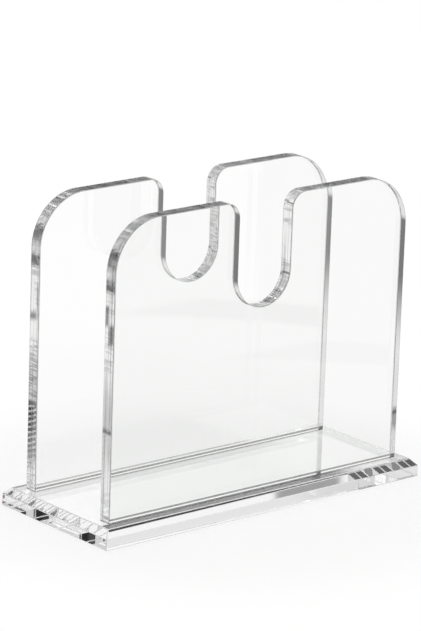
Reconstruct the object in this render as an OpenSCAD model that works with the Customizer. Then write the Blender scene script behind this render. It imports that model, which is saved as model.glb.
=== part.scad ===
// Upright napkin holder in clear acrylic.
// Two upright panels, each with a finger notch, are bonded on edge to a bevelled base plate.
// X runs along the panels, -Y is the front and Z is up.
// The origin is the centre of the underside of the base plate.

/* [Panels] */
// Width of each panel, end to end
panel_w = 156; // [120:1:220]
// Height of the panels above the base plate
panel_rise = 125; // [80:1:170]
// Thickness of the panel sheet
panel_t = 6; // [3:0.5:10]
// Radius of the two top corners of a panel
corner_r = 22; // [8:1:30]
// Clear gap between the two panels, which takes the stack
slot_gap = 43; // [20:1:80]

/* [Finger notch] */
// Width of the notch, which is also the diameter of its round bottom
notch_w = 28; // [18:1:34]
// Depth of the notch below the top edge of a panel
notch_depth = 46; // [30:1:70]
// Radius that rolls the sides of the notch over into the top edge
lip_r = 7; // [2:0.5:9]

/* [Base plate] */
// Thickness of the base sheet
base_t = 8; // [5:0.5:14]
// Width and height of the 45 degree bevel round the top of the base
bevel = 3; // [1:0.25:4]
// Margin of the base beyond each end of the panels
end_margin = 7; // [5:0.5:25]
// Margin of the base in front of the front panel and behind the back one
face_margin = 7.5; // [5:0.5:25]

/* [Hidden] */
// Facets round each full circle in the preview
$fn = 96;
// How far a cut runs past the surface that it opens
overrun = 1;
// Share of a span that lies on each side of its middle
half_share = 1 / 2;

base_l = panel_w + 2 * end_margin;
base_w = slot_gap + 2 * (panel_t + face_margin);
// From the middle of the holder to the middle of a panel's thickness
panel_y = (slot_gap + panel_t) * half_share;
notch_r = notch_w * half_share;
half_w = panel_w * half_share;

// Section of the base plate over a span: square sides with a 45 degree bevel on top
module bevelled_section(span) {
    half = span * half_share;
    polygon([
        [-half, 0],
        [half, 0],
        [half, base_t - bevel],
        [half - bevel, base_t],
        [bevel - half, base_t],
        [-half, base_t - bevel]
    ]);
}

// A section that lies in X and Z, run along Y from the middle both ways
module run_along_y(length) {
    translate([0, length * half_share, 0])
        rotate([90, 0, 0])
            linear_extrude(length) children();
}

// Plate whose bevel meets in mitres at the four corners
module bevelled_plate() {
    intersection() {
        run_along_y(base_w) bevelled_section(base_l);
        rotate([0, 0, 90]) run_along_y(base_l) bevelled_section(base_w);
    }
}

// Rounding of one top corner of a panel, on the +X side
module corner_waste() {
    translate([half_w - corner_r, panel_rise - corner_r])
        difference() {
            square(corner_r + overrun);
            circle(corner_r);
        }
}

// One rolled lip of the notch, on the +X side
module lip_waste() {
    translate([notch_r, panel_rise - lip_r])
        difference() {
            translate([-overrun, 0]) square([lip_r + overrun, lip_r + overrun]);
            translate([lip_r, 0]) circle(lip_r);
        }
}

// Notch that is open at the top, straight below the lips and round at the bottom
module notch_waste() {
    bottom = panel_rise - notch_depth;
    translate([0, bottom + notch_r]) circle(notch_r);
    translate([-notch_r, bottom + notch_r]) square([notch_w, notch_depth - notch_r + overrun]);
}

// Outline of a panel from its foot on the base to the top edge
module panel_outline() {
    difference() {
        translate([-half_w, 0]) square([panel_w, panel_rise]);
        notch_waste();
        for (flip = [0, 1])
            mirror([flip, 0]) {
                corner_waste();
                lip_waste();
            }
    }
}

// Panel that stands on the base plate on one side, -1 in front and 1 behind
module panel(side) {
    translate([0, side * panel_y, base_t])
        run_along_y(panel_t) panel_outline();
}

module base_plate() {
    color([0.86, 0.92, 0.93, 0.5]) bevelled_plate();
}

module front_panel() {
    color([0.9, 0.95, 0.96, 0.4]) panel(-1);
}

module back_panel() {
    color([0.9, 0.95, 0.96, 0.4]) panel(1);
}

base_plate();
front_panel();
back_panel();
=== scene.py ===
"""Clear acrylic napkin holder: dressed pieces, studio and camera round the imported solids.
Lengths are in metres and angles in degrees unless a name says otherwise."""
import math

import bpy
from mathutils import Matrix, Vector


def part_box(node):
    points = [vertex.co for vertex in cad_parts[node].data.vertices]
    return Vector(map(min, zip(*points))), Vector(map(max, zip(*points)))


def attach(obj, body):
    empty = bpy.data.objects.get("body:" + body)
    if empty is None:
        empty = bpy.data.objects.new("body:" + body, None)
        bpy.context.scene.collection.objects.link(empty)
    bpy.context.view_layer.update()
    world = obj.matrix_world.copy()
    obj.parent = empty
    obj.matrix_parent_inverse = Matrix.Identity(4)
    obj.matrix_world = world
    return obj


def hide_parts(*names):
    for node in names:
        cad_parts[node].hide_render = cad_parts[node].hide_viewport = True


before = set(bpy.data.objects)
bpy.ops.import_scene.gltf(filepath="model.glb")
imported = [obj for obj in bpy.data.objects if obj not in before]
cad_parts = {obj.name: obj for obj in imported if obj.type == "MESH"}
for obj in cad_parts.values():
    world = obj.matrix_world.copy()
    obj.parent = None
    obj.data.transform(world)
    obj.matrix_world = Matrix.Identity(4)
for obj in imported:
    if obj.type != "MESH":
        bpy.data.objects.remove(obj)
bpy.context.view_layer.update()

# Panel outline, as in the solids
CORNER_R = 0.022
NOTCH_W = 0.028
NOTCH_DEPTH = 0.046
LIP_R = 0.007
# Base plate, as in the solids
BEVEL = 0.003
# Film of cement between the feet of the panels and the base plate
CEMENT_FILM = 0.00002
# Rounding that polishing leaves on the long edges, which the solids leave sharp
PANEL_ARRIS = 0.0004
BASE_ARRIS = 0.0004
BEVEL_TOP_ARRIS = 0.0009
BASE_CORNER_R = 0.0006
# Height of the line of cement that stands proud of the base at the foot of a panel
SEAM_HEIGHT = 0.00045
# Facets in a quarter turn of each kind of curve
ARRIS_STEPS = 4
CORNER_STEPS = 40
LIP_STEPS = 20
NOTCH_STEPS = 32
PLATE_CORNER_STEPS = 4

# Camera solved on the photograph: heading from +Y towards +X, dip and roll, in degrees
IMAGE_HEIGHT_PX = 631
FOCAL_PX = 3766.3
CAMERA_HEADING = 40.413
CAMERA_DIP = 15.856
CAMERA_ROLL = 1.944
CAMERA_DISTANCE = 1.5661
CAMERA_RIGHT = -0.0034
CAMERA_UP = 0.00626
AIM_HEIGHT = 0.07
SENSOR_MM = 36
CAMERA_CLIP = (0.01, 50.0)

# Sheets of acrylic
ACRYLIC_IOR = 1.49
SHEET_TINT = (0.982, 0.987, 0.982)
# The panels' arrises are darkened in their colour: painted shade for the thin dark lines along their
# edges
ARRIS_PAINTED_SHADE = (0.45, 0.46, 0.455)
CEMENT_TINT = (0.14, 0.14, 0.138)
FACE_SHADE = (0.93, 0.94, 0.94)
EDGE_SHADE = (0.7, 0.72, 0.72)
# How much darker the marked places of an edge are
EDGE_DEPTH = 0.45
PANEL_EDGE_DEPTH = 0.7
# Heights of the waves that light shows in each kind of surface
SHEET_WAVE = 0.00002
PANEL_EDGE_WAVE = 0.000012
PLATE_EDGE_WAVE = 0.000004
ARRIS_WAVE = 0.00001
# Rubbed edges: scale of the grain, least and most haze, and how dark the grain gets
SCRAPED = (160.0, (0.06, 0.14), 0.4)
FROSTED = (400.0, (0.28, 0.4), 0.1)
# Light bounces many times inside a clear plate before it leaves
BOUNCES = 128

# Floor. Pairs are the distances between which one level of light passes into the next.
# A name with LIGHT in it is the level, or the two levels between which it changes, where 1 is white
FLOOR_DROP = 0.0002
FLOOR_RADIUS = 6.0
FLOOR_STEPS = 96
FLOOR_COLOUR = (0.92, 0.92, 0.918, 1)
FLOOR_WHITE = (1, 1, 0.998, 1)
# Painted shadow: a strip of floor under the foot of each panel, darkened in its colour: its place in Y,
# sides, core and ends, and where it grows lighter to the right and from the front strip to the back one
STRIP_Y = 0.0247
STRIP_SIDES = (0.0026, 0.0034)
STRIP_CORE = (0.0011, 0.0019)
STRIP_ENDS = (0.076, 0.083)
STRIP_RIGHT = (0.045, 0.065)
FRONT_TO_BACK = (-0.01, 0.01)
FRONT_STRIP_LIGHT = (0.05, 0.0)
BACK_STRIP_LIGHT = 0.7
# How much of the painted shadow is left at the right
STRIP_RIGHT_SHARE = 0.3
# Soft shade round the plate, where the floor is plain white only in this share and lit by the lamps else
SOFT_SHADE = (0.085, 0.15)
PLAIN_WHITE_SHARE = 0.78
# Floor under the plate and behind it, as the acrylic mirrors it
UNDER_ENDS = (0.084, 0.086)
UNDER_SIDES = (0.034, 0.036)
UNDER_RIGHT = (0.04, 0.05)
UNDER_BACK = (-0.01, 0.02)
UNDER_LIGHT = (0.16, 0.42)
RUN_DOWN_LIGHT = 0.1
BEHIND_ENDS = (0.09, 0.12)
BEHIND_RIGHT = (0.05, 0.07)
BEHIND_LIGHT = (0.82, 0.72)
# Open floor as the acrylic mirrors it: shade round the plate, dark left side and a dark band a step away
NEAR_FLOOR = (0.13, 0.2)
NEAR_LIGHT = 0.7
LEFT_SIDE = (-0.15, -0.05)
LEFT_LIGHT = 0.2
BAND_AWAY = (0.24, 0.265)
BAND_ACROSS = (-0.19, 0.16)
BAND_SOFT = 0.01
BAND_LIGHT = 0.3
# The floor that the outer faces mirror
OUTER_FLOOR_LIGHT = 0.25

# Studio as the acrylic mirrors it. Pairs are the limits in X or Z of a direction between which one level
# of light passes into the next, and LIGHT means the same as for the floor
CEILING = (0.56, 0.7)
CEILING_LIGHT = 0.55
LEFT_WALL = (-0.5, -0.36)
LEFT_WALL_LIGHT = 0.8
# Studio that the outer faces mirror: light low down and dark above
OUTER_RISE = (0.14, 0.27)
OUTER_LIGHT = (0.7, 0.01)
# What the world gives to the matt floor
FLOOR_FILL_LIGHT = 0.55
# Dark flags in the studio that only mirrored light sees.
# Each has its limits in X, Y and Z of the direction, their softness and the light it leaves
FLAGS = (
    ((0.4, 2.0), (-0.37, -0.17), (0.3, 2.0), 0.06, 0.005),
    ((-0.72, -0.48), (0.5, 2.0), (-2.0, 0.5), 0.06, 0.1),
    ((0.54, 0.7), (0.15, 0.35), (0.67, 0.82), 0.03, 0.05),
    ((0.2, 0.5), (0.5, 0.8), (0.55, 0.78), 0.04, 0.04),
)
# A grey post behind the object and two rails, behind it and in front, seen only after many reflections.
# Each has its limits in bearing and their softness, in degrees, the same for Z, and the light it leaves
POST = ((41.6, 42.5), 0.1, (0.2, 0.45), 0.05, 0.35)
RAILS = (
    ((32.0, 38.5), 0.2, (0.2935, 0.3035), 0.0005, 0.005),
    ((32.0, 38.5), 0.2, (0.304, 0.3095), 0.0005, 0.25),
)
# Soft boxes: name, width, power in watts and place
LAMPS = (
    ("key_lamp", 0.9, 9.0, (-0.7, -0.9, 1.5)),
    ("fill_lamp", 0.8, 4.0, (0.8, 0.9, 1.9)),
)
LAMP_AIM = (0, 0, 0.05)
# Numbers of reflections, or of passes through a surface, that tell kinds of light apart
ANY = 0.5
MANY = 3.5
DOWN_A_PANEL = 9.5

FACE_SLOT = 0
EDGE_SLOT = 1
ARRIS_SLOT = 2
SEAM_SLOT = 3


class Graph:
    """A node tree under construction, with short calls to add and link nodes."""

    def __init__(self, tree):
        self.tree = tree
        tree.nodes.clear()

    def add(self, kind, inputs=None, **settings):
        node = self.tree.nodes.new(kind)
        for name, value in settings.items():
            setattr(node, name, value)
        for name, value in (inputs or {}).items():
            socket = node.inputs[name]
            if isinstance(value, bpy.types.NodeSocket):
                self.tree.links.new(value, socket)
            else:
                socket.default_value = value
        return node

    def maths(self, operation, first, second=0.0):
        return self.add("ShaderNodeMath", {0: first, 1: second}, operation=operation).outputs[0]

    def blend(self, factor, first, second):
        """first where factor is 0 and second where it is 1, for numbers."""
        return self.add("ShaderNodeMix", {0: factor, 2: first, 3: second}).outputs[0]

    def ramp(self, value, low, high, start=0.0, end=1.0):
        """value carried smoothly from start, at low, to end, at high."""
        limits = {"Value": value, "From Min": low, "From Max": high, "To Min": start, "To Max": end}
        return self.add("ShaderNodeMapRange", limits, interpolation_type="SMOOTHSTEP").outputs[0]

    def within(self, value, low, high, soft):
        """1 where value lies from low to high, falling to 0 over soft beyond them."""
        above = self.ramp(value, low - soft, low)
        below = self.ramp(value, high, high + soft, 1.0, 0.0)
        return self.product(above, below)

    def product(self, first, *others):
        for other in others:
            first = self.maths("MULTIPLY", first, other)
        return first

    def stretched(self, vector, scale, turn=(0.0, 0.0, 0.0)):
        inputs = {"Vector": vector, "Scale": scale, "Rotation": turn}
        return self.add("ShaderNodeMapping", inputs).outputs[0]

    def noise(self, vector, scale, detail=2.0):
        node = self.add("ShaderNodeTexNoise", {"Vector": vector, "Scale": scale, "Detail": detail})
        return node.outputs["Fac"]

    def bump(self, height, distance):
        inputs = {"Height": height, "Strength": 1.0, "Distance": distance}
        return self.add("ShaderNodeBump", inputs).outputs[0]


def material_graph(name):
    material = bpy.data.materials.new(name)
    material.use_nodes = True
    return material, Graph(material.node_tree)


def clear_acrylic(name, tint, shade, finish, depth=EDGE_DEPTH):
    """Clear acrylic that bends light. A lamp's light is dimmed by shade at each surface, not blocked.
    finish gives the share of a tint that is darker by depth, the roughness and the normal."""
    material, graph = material_graph(name)
    place = graph.add("ShaderNodeTexCoord").outputs["Object"]
    stain, roughness, normal = finish(graph, place)
    dark = tuple((1.0 - depth) * part for part in tint)
    colour = graph.add("ShaderNodeMix", {0: stain, 6: (*tint, 1), 7: (*dark, 1)}, data_type="RGBA")
    body = graph.add(
        "ShaderNodeBsdfPrincipled",
        {
            "Base Color": colour.outputs[2],
            "Transmission Weight": 1.0,
            "IOR": ACRYLIC_IOR,
            "Roughness": roughness,
            "Normal": normal,
        },
    )
    lets_by = graph.add("ShaderNodeBsdfTransparent", {"Color": (*shade, 1)})
    path = graph.add("ShaderNodeLightPath")
    for_lamps = path.outputs["Is Shadow Ray"]
    both = graph.add("ShaderNodeMixShader", {0: for_lamps, 1: body.outputs[0], 2: lets_by.outputs[0]})
    graph.add("ShaderNodeOutputMaterial", {"Surface": both.outputs[0]})
    return material


def sheet_finish(graph, place):
    """Cast face: near optical, with a faint smear and hair scratches from wiping."""
    smear = graph.ramp(graph.noise(place, 22.0, 3.0), 0.35, 0.75, 0.0, 0.02)
    hairs = graph.noise(graph.stretched(place, (1.0, 1.0, 0.03), (0.0, math.radians(24), 0.0)), 2600.0)
    hairs = graph.ramp(hairs, 0.72, 0.8, 0.0, 0.05)
    roughness = graph.maths("ADD", smear, hairs)
    stain = graph.ramp(smear, 0.015, 0.02, 0.0, 0.02)
    return stain, roughness, graph.bump(graph.noise(place, 14.0, 1.0), SHEET_WAVE)


def panel_edge_finish(graph, place):
    """Polished edge with fine lines along it and, outside the notch, patches of marks across it."""
    lines = graph.noise(graph.stretched(place, (7.0, 1700.0, 7.0)), 1.0, 1.0)
    ticks = graph.noise(graph.stretched(place, (1400.0, 150.0, 1400.0)), 1.0, 0.0)
    along = graph.add("ShaderNodeSeparateXYZ", {0: place}).outputs["X"]
    outer = graph.ramp(graph.maths("ABSOLUTE", along), NOTCH_W / 2, NOTCH_W / 2 + LIP_R)
    patches = graph.product(graph.ramp(graph.noise(place, 45.0, 0.0), 0.53, 0.57, 0.0, 0.9), outer)
    marks = graph.product(graph.ramp(ticks, 0.52, 0.56), patches)
    waves = graph.noise(place, 90.0, 1.0)
    height = graph.maths("ADD", lines, waves)
    roughness = graph.ramp(lines, 0.4, 0.7, 0.0, 0.04)
    stain = graph.maths("MAXIMUM", graph.ramp(lines, 0.58, 0.63), marks)
    return stain, roughness, graph.bump(height, PANEL_EDGE_WAVE)


def plate_edge_finish(graph, place):
    """Flame-polished edge of the thick plate, with hardly a wave in it."""
    waves = graph.noise(place, 40.0, 1.0)
    roughness = graph.ramp(graph.noise(place, 130.0), 0.5, 0.8, 0.0, 0.02)
    stain = graph.ramp(waves, 0.6, 0.8, 0.0, 0.05)
    return stain, roughness, graph.bump(waves, PLATE_EDGE_WAVE)


def rubbed_finish(grain_scale, haze_limits, darkest):
    """Finish of an edge that was scraped or rubbed down: hazy, and more so in places."""

    def finish(graph, place):
        grain = graph.noise(place, grain_scale)
        haze = graph.ramp(grain, 0.3, 0.7, *haze_limits)
        stain = graph.ramp(grain, 0.4, 0.6, 0.0, darkest)
        return stain, haze, graph.bump(graph.noise(place, 300.0, 1.0), ARRIS_WAVE)

    return finish


def arc(centre, radius, start, end, steps):
    """Outward directions of an arc from start to end, in degrees, each with its centre and radius."""
    turns = [math.radians(start + (end - start) * k / steps) for k in range(steps + 1)]
    return [(Vector((math.cos(a), math.sin(a))), centre, radius) for a in turns]


def panel_ring(low, high, inset):
    """Outline of a panel, moved in by inset: points in X and Z with their outward directions."""
    half, top = high.x, high.z
    notch_r = NOTCH_W / 2
    notch_z = top - NOTCH_DEPTH + notch_r
    corner = Vector((half - CORNER_R, top - CORNER_R))
    lip = Vector((notch_r + LIP_R, top - LIP_R))
    right = [
        (Vector((half - inset, low.z)), Vector((1, 0))),
        (Vector((half - inset, low.z + SEAM_HEIGHT)), Vector((1, 0))),
    ]
    for way, centre, radius in arc(corner, CORNER_R - inset, 0, 90, CORNER_STEPS):
        right.append((centre + way * radius, way))
    for way, centre, radius in arc(lip, LIP_R - inset, 90, 180, LIP_STEPS):
        right.append((centre + way * radius, way))
    bottom = []
    for way, centre, radius in arc(Vector((0, notch_z)), notch_r + inset, 0, -180, 2 * NOTCH_STEPS):
        bottom.append((centre + way * radius, -way))
    left = [(Vector((-p.x, p.y)), Vector((-n.x, n.y))) for p, n in reversed(right)]
    return right + bottom + left


def smooth_piece(name, verts, normals, faces, slots, materials, flat=()):
    """Mesh object whose corners take the given normals: flats stay flat and roundings stay round.
    The faces whose numbers are in flat keep their own normal at every corner."""
    mesh = bpy.data.meshes.new(name)
    mesh.from_pydata(verts, [], faces)
    for material in materials:
        mesh.materials.append(material)
    mesh.polygons.foreach_set("material_index", slots)
    mesh.polygons.foreach_set("use_smooth", [True] * len(faces))
    mesh.validate()
    corners = [normals[loop.vertex_index] for loop in mesh.loops]
    for number in flat:
        face = mesh.polygons[number]
        for k in face.loop_indices:
            corners[k] = face.normal[:]
    mesh.normals_split_custom_set(corners)
    piece = bpy.data.objects.new(name, mesh)
    bpy.context.scene.collection.objects.link(piece)
    return piece


def panel_piece(name, node, materials):
    """Panel sheet with its arrises rounded and a square foot that stands on the film of cement."""
    low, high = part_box(node)
    low.z += CEMENT_FILM
    turns = [90 * k / ARRIS_STEPS for k in range(ARRIS_STEPS + 1)]
    layers = []
    for side, face_y, order in ((-1, low.y, reversed(turns)), (1, high.y, turns)):
        for turn in order:
            angle = math.radians(turn)
            inset = PANEL_ARRIS * (1 - math.cos(angle))
            y = face_y - side * PANEL_ARRIS * (1 - math.sin(angle))
            layers.append((inset, y, angle, side))
    verts, normals = [], []
    for inset, y, angle, side in layers:
        for point, way in panel_ring(low, high, inset):
            verts.append((point.x, y, point.y))
            normals.append((way.x * math.cos(angle), side * math.sin(angle), way.y * math.cos(angle)))
    count = len(verts) // len(layers)
    faces, slots, foot = [], [], []
    in_seam = (0, count - 2)
    for layer in range(len(layers) - 1):
        for k in range(count):
            ahead = (k + 1) % count
            a, b = layer * count, (layer + 1) * count
            faces.append((a + k, b + k, b + ahead, a + ahead))
            if k == count - 1:
                foot.append(len(faces) - 1)
                slots.append(FACE_SLOT)
            elif k in in_seam:
                slots.append(SEAM_SLOT)
            elif layer == ARRIS_STEPS:
                slots.append(EDGE_SLOT)
            else:
                slots.append(ARRIS_SLOT)
    for start, order in ((0, 1), ((len(layers) - 1) * count, -1)):
        seam = [0, 1, count - 2, count - 1]
        rest = list(range(1, count - 1))
        for loop, slot in ((seam, SEAM_SLOT), (rest, FACE_SLOT)):
            faces.append([start + k for k in loop][::order])
            slots.append(slot)
    return smooth_piece(name, verts, normals, faces, slots, materials, foot)


def plate_ring(inset, height, lean):
    """Rounded rectangle of the base plate, moved in by inset, as places and normals.
    The normals lean up from level by lean degrees."""
    half_l = base_high.x - inset - BASE_CORNER_R
    half_w = base_high.y - inset - BASE_CORNER_R
    level, rise = math.cos(math.radians(lean)), math.sin(math.radians(lean))
    ring = []
    for quarter, (sx, sy) in enumerate(((1, 1), (-1, 1), (-1, -1), (1, -1))):
        corner = Vector((sx * half_l, sy * half_w))
        start = 90 * quarter
        for way, centre, radius in arc(corner, BASE_CORNER_R, start, start + 90, PLATE_CORNER_STEPS):
            point = centre + way * radius
            ring.append(((point.x, point.y, height), (way.x * level, way.y * level, rise)))
    return ring


def rounded_turn(radius, inset, height, start, end):
    """Rings that round the meeting of two flats of the plate's section.
    inset and height give the centre of the rounding, and start and end its turn in degrees."""
    rings = []
    for k in range(ARRIS_STEPS + 1):
        lean = start + (end - start) * k / ARRIS_STEPS
        angle = math.radians(lean)
        ring_inset = inset - radius * math.cos(angle)
        ring_height = height + radius * math.sin(angle)
        rings.append(plate_ring(ring_inset, ring_height, lean))
    return rings


def base_piece(name, materials):
    """Base plate with rounded arrises and a mitred bevel round its top."""
    r, top_r = BASE_ARRIS, BEVEL_TOP_ARRIS
    top = base_high.z
    # How far along the flats the centre of a rounding lies, for a turn of 45 degrees
    slack = math.tan(math.radians(22.5))
    rings = rounded_turn(r, r, r, -90, 0)
    rings += rounded_turn(r, r, top - BEVEL - slack * r, 0, 45)
    rings += rounded_turn(top_r, BEVEL + slack * top_r, top - top_r, 45, 90)
    verts = [place for ring in rings for place, normal in ring]
    normals = [normal for ring in rings for place, normal in ring]
    count = len(rings[0])
    faces, slots = [], []
    for layer in range(len(rings) - 1):
        a, b = layer * count, (layer + 1) * count
        # Only the line between the bevel and the top is frosted
        frosted = layer >= len(rings) - 1 - ARRIS_STEPS
        for k in range(count):
            ahead = (k + 1) % count
            faces.append((a + k, a + ahead, b + ahead, b + k))
            slots.append(ARRIS_SLOT if frosted else EDGE_SLOT)
    faces.append(list(range(count))[::-1])
    slots.append(FACE_SLOT)
    last = (len(rings) - 1) * count
    faces.append(list(range(last, last + count)))
    slots.append(FACE_SLOT)
    return smooth_piece(name, verts, normals, faces, slots, materials)


def dress_pieces():
    face = clear_acrylic("clear_sheet_face", SHEET_TINT, FACE_SHADE, sheet_finish)
    panel_edge = clear_acrylic(
        "polished_panel_edge", SHEET_TINT, EDGE_SHADE, panel_edge_finish, PANEL_EDGE_DEPTH
    )
    plate_edge = clear_acrylic("polished_plate_edge", SHEET_TINT, EDGE_SHADE, plate_edge_finish)
    scraped = rubbed_finish(*SCRAPED)
    # Arrises: real scraped haze, and a dark colour that is painted shade
    arris = clear_acrylic("scraped_arris_painted_shade", ARRIS_PAINTED_SHADE, EDGE_SHADE, scraped)
    seam = clear_acrylic("cement_line", CEMENT_TINT, EDGE_SHADE, scraped)
    frosted = clear_acrylic("frosted_bevel_line", SHEET_TINT, EDGE_SHADE, rubbed_finish(*FROSTED))
    base = base_piece("base_plate_bevelled", (face, plate_edge, frosted))
    made = [(base, "base_plate", "clear_base_acrylic")]
    for side in ("front", "back"):
        node = side + "_panel"
        piece = panel_piece(node + "_sheet", node, (face, panel_edge, arris, seam))
        made.append((piece, node, "clear_panel_acrylic"))
    for piece, node, slot in made:
        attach(piece, "root")
        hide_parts(node)


def looked_at_floor(graph, along, across, away, path):
    """White floor with painted shadow strips under the panels' feet and a soft shade close to the plate.
    """
    beside = graph.maths("ABSOLUTE", graph.maths("SUBTRACT", graph.maths("ABSOLUTE", across), STRIP_Y))
    # The strips under the feet are painted shadow: the white light of the floor is turned down there
    painted_foot_shadow = graph.product(
        graph.ramp(beside, *STRIP_SIDES, 1.0, 0.0),
        graph.ramp(graph.maths("ABSOLUTE", along), *STRIP_ENDS, 1.0, 0.0),
        graph.ramp(along, *STRIP_RIGHT, 1.0, STRIP_RIGHT_SHARE),
    )
    front_strip = graph.ramp(beside, *STRIP_CORE, *FRONT_STRIP_LIGHT)
    in_strip = graph.ramp(across, *FRONT_TO_BACK, front_strip, BACK_STRIP_LIGHT)
    painted_shadow_level = graph.blend(painted_foot_shadow, 1.0, in_strip)
    lit = graph.add("ShaderNodeBsdfDiffuse", {"Color": FLOOR_COLOUR})
    white = graph.add("ShaderNodeEmission", {"Color": FLOOR_WHITE, "Strength": painted_shadow_level})
    seen = path.outputs["Is Camera Ray"]
    for name in ("Is Glossy Ray", "Is Transmission Ray"):
        seen = graph.maths("MAXIMUM", seen, path.outputs[name])
    open_floor = graph.maths("MAXIMUM", graph.ramp(away, *SOFT_SHADE, PLAIN_WHITE_SHARE, 1.0), painted_foot_shadow)
    share = graph.product(seen, open_floor)
    return graph.add("ShaderNodeMixShader", {0: share, 1: lit.outputs[0], 2: white.outputs[0]})


def mirrored_floor(graph, along, across, away, path):
    """Floor as the acrylic mirrors it, with shades that stand in for a room."""
    along_size = graph.maths("ABSOLUTE", along)
    across_size = graph.maths("ABSOLUTE", across)
    under = graph.product(
        graph.ramp(along_size, *UNDER_ENDS, 1.0, 0.0), graph.ramp(across_size, *UNDER_SIDES, 1.0, 0.0)
    )
    # Light gets in under the plate at its right end
    under_left = graph.ramp(across, *UNDER_BACK, *UNDER_LIGHT)
    under_level = graph.ramp(along, *UNDER_RIGHT, under_left, 1.0)
    # Light that has run down a whole panel finds it dark there
    run_down = graph.maths("GREATER_THAN", path.outputs["Glossy Depth"], DOWN_A_PANEL)
    under_level = graph.blend(run_down, under_level, RUN_DOWN_LIGHT)
    band = graph.product(
        graph.within(away, *BAND_AWAY, BAND_SOFT), graph.within(across, *BAND_ACROSS, BAND_SOFT)
    )
    behind = graph.product(
        graph.ramp(across, *UNDER_SIDES), graph.ramp(along_size, *BEHIND_ENDS, 1.0, 0.0)
    )
    level = graph.ramp(away, *NEAR_FLOOR, NEAR_LIGHT, 1.0)
    level = graph.blend(behind, level, graph.ramp(along, *BEHIND_RIGHT, *BEHIND_LIGHT))
    level = graph.blend(band, level, BAND_LIGHT)
    level = graph.blend(graph.ramp(along, *LEFT_SIDE, 1.0, 0.0), level, LEFT_LIGHT)
    level = graph.blend(under, level, under_level)
    # The outer faces mirror a dimmer floor than the light that comes out through them
    inside = graph.maths("GREATER_THAN", path.outputs["Transmission Depth"], ANY)
    level = graph.blend(inside, OUTER_FLOOR_LIGHT, level)
    return graph.add("ShaderNodeEmission", {"Color": (1, 1, 1, 1), "Strength": level})


def floor_material():
    """White where it is looked at, with shades of its own for what the acrylic mirrors."""
    material, graph = material_graph("studio_floor")
    place = graph.add("ShaderNodeTexCoord").outputs["Object"]
    parts = graph.add("ShaderNodeSeparateXYZ", {0: place})
    away = graph.add("ShaderNodeVectorMath", {0: place}, operation="LENGTH").outputs["Value"]
    path = graph.add("ShaderNodeLightPath")
    given = (graph, parts.outputs["X"], parts.outputs["Y"], away, path)
    plain = looked_at_floor(*given)
    shades = mirrored_floor(*given)
    mirrored = graph.maths("GREATER_THAN", path.outputs["Glossy Depth"], ANY)
    shader = graph.add("ShaderNodeMixShader", {0: mirrored, 1: plain.outputs[0], 2: shades.outputs[0]})
    graph.add("ShaderNodeOutputMaterial", {"Surface": shader.outputs[0]})
    return material


def floor_stage():
    bpy.ops.mesh.primitive_circle_add(
        vertices=FLOOR_STEPS, radius=FLOOR_RADIUS, fill_type="NGON", location=(0, 0, -FLOOR_DROP)
    )
    floor = bpy.context.object
    floor.name = "floor"
    floor.data.materials.append(floor_material())


def soft_lamp(name, width, power, spot):
    """Square soft box that shines from spot towards the object and isn't seen itself."""
    lamp = bpy.data.lights.new(name, "AREA")
    lamp.shape = "SQUARE"
    lamp.size = width
    lamp.energy = power
    box = bpy.data.objects.new(name, lamp)
    box.location = spot
    box.rotation_euler = (Vector(LAMP_AIM) - Vector(spot)).to_track_quat("-Z", "Y").to_euler()
    box.visible_camera = False
    bpy.context.scene.collection.objects.link(box)


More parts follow.
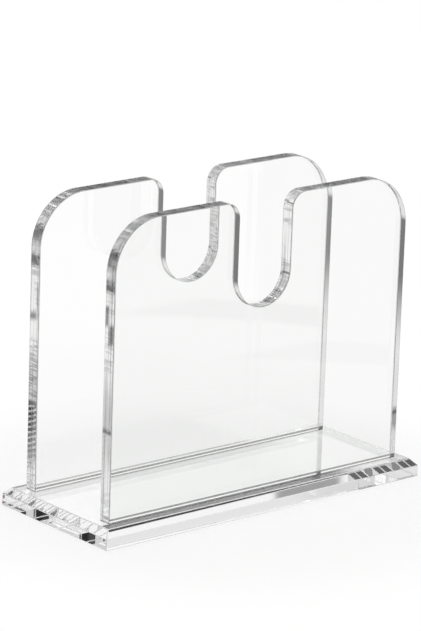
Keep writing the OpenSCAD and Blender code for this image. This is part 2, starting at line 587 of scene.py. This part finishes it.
def studio_world():
    """White all round for what looks straight out, and a studio with a dark ceiling where mirrored."""
    world = bpy.data.worlds.new("studio")
    bpy.context.scene.world = world
    world.use_nodes = True
    graph = Graph(world.node_tree)
    way = graph.add("ShaderNodeTexCoord").outputs["Generated"]
    parts = graph.add("ShaderNodeSeparateXYZ", {0: way})
    x, y, z = (parts.outputs[name] for name in "XYZ")
    path = graph.add("ShaderNodeLightPath")
    mirrored = graph.maths("GREATER_THAN", path.outputs["Glossy Depth"], ANY)
    ceiling = graph.ramp(z, *CEILING, 1.0, CEILING_LIGHT)
    from_inside = graph.product(ceiling, graph.ramp(x, *LEFT_WALL, LEFT_WALL_LIGHT, 1.0))
    for x_span, y_span, z_span, soft, left in FLAGS:
        level_share = graph.product(graph.within(x, *x_span, soft), graph.within(y, *y_span, soft))
        flag = graph.product(level_share, graph.within(z, *z_span, soft))
        from_inside = graph.blend(flag, from_inside, left)
    behind = graph.maths("ARCTAN2", x, y)
    both_ways = graph.maths("ARCTAN2", x, graph.maths("ABSOLUTE", y))
    often = graph.maths("GREATER_THAN", path.outputs["Glossy Depth"], MANY)
    bars = [(behind, *POST)] + [(both_ways, *rail) for rail in RAILS]
    for bearing, turn, soft_turn, rise, soft_rise, left in bars:
        low, high, soft = (math.radians(a) for a in (*turn, soft_turn))
        bar = graph.product(
            graph.within(bearing, low, high, soft), graph.within(z, *rise, soft_rise), often
        )
        from_inside = graph.blend(bar, from_inside, left)
    # The outer faces mirror a dimmer studio than the light that comes out through them
    outside = graph.ramp(z, *OUTER_RISE, *OUTER_LIGHT)
    inside = graph.maths("GREATER_THAN", path.outputs["Transmission Depth"], ANY)
    level = graph.blend(mirrored, 1.0, graph.blend(inside, outside, from_inside))
    level = graph.blend(path.outputs["Is Diffuse Ray"], level, FLOOR_FILL_LIGHT)
    background = graph.add("ShaderNodeBackground", {"Color": (1, 1, 1, 1), "Strength": level})
    graph.add("ShaderNodeOutputWorld", {"Surface": background.outputs[0]})


def photo_camera():
    """Camera at the photograph's viewing angle, from the solved heading, dip, roll and offsets."""
    heading, dip, roll = (math.radians(a) for a in (CAMERA_HEADING, CAMERA_DIP, CAMERA_ROLL))
    level_ahead = Vector((math.sin(heading), math.cos(heading), 0))
    ahead = math.cos(dip) * level_ahead - Vector((0, 0, math.sin(dip)))
    level_right = Vector((math.cos(heading), -math.sin(heading), 0))
    level_up = level_right.cross(ahead)
    right = math.cos(roll) * level_right + math.sin(roll) * level_up
    up = math.cos(roll) * level_up - math.sin(roll) * level_right
    data = bpy.data.cameras.new("photo_camera")
    data.sensor_width = SENSOR_MM
    data.lens = FOCAL_PX * SENSOR_MM / IMAGE_HEIGHT_PX
    data.clip_start, data.clip_end = CAMERA_CLIP
    camera = bpy.data.objects.new("photo_camera", data)
    spot = Vector((0, 0, AIM_HEIGHT)) - ahead * CAMERA_DISTANCE + right * CAMERA_RIGHT + up * CAMERA_UP
    camera.matrix_world = Matrix.Translation(spot) @ Matrix((right, up, -ahead)).transposed().to_4x4()
    bpy.context.scene.collection.objects.link(camera)
    bpy.context.scene.camera = camera


base_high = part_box("base_plate")[1]

photo_camera()
dress_pieces()
floor_stage()
studio_world()
for lamp in LAMPS:
    soft_lamp(*lamp)

scene = bpy.context.scene
scene.view_settings.view_transform = "Standard"
scene.cycles.max_bounces = BOUNCES
scene.cycles.glossy_bounces = BOUNCES
scene.cycles.transmission_bounces = BOUNCES
scene.cycles.transparent_max_bounces = BOUNCES
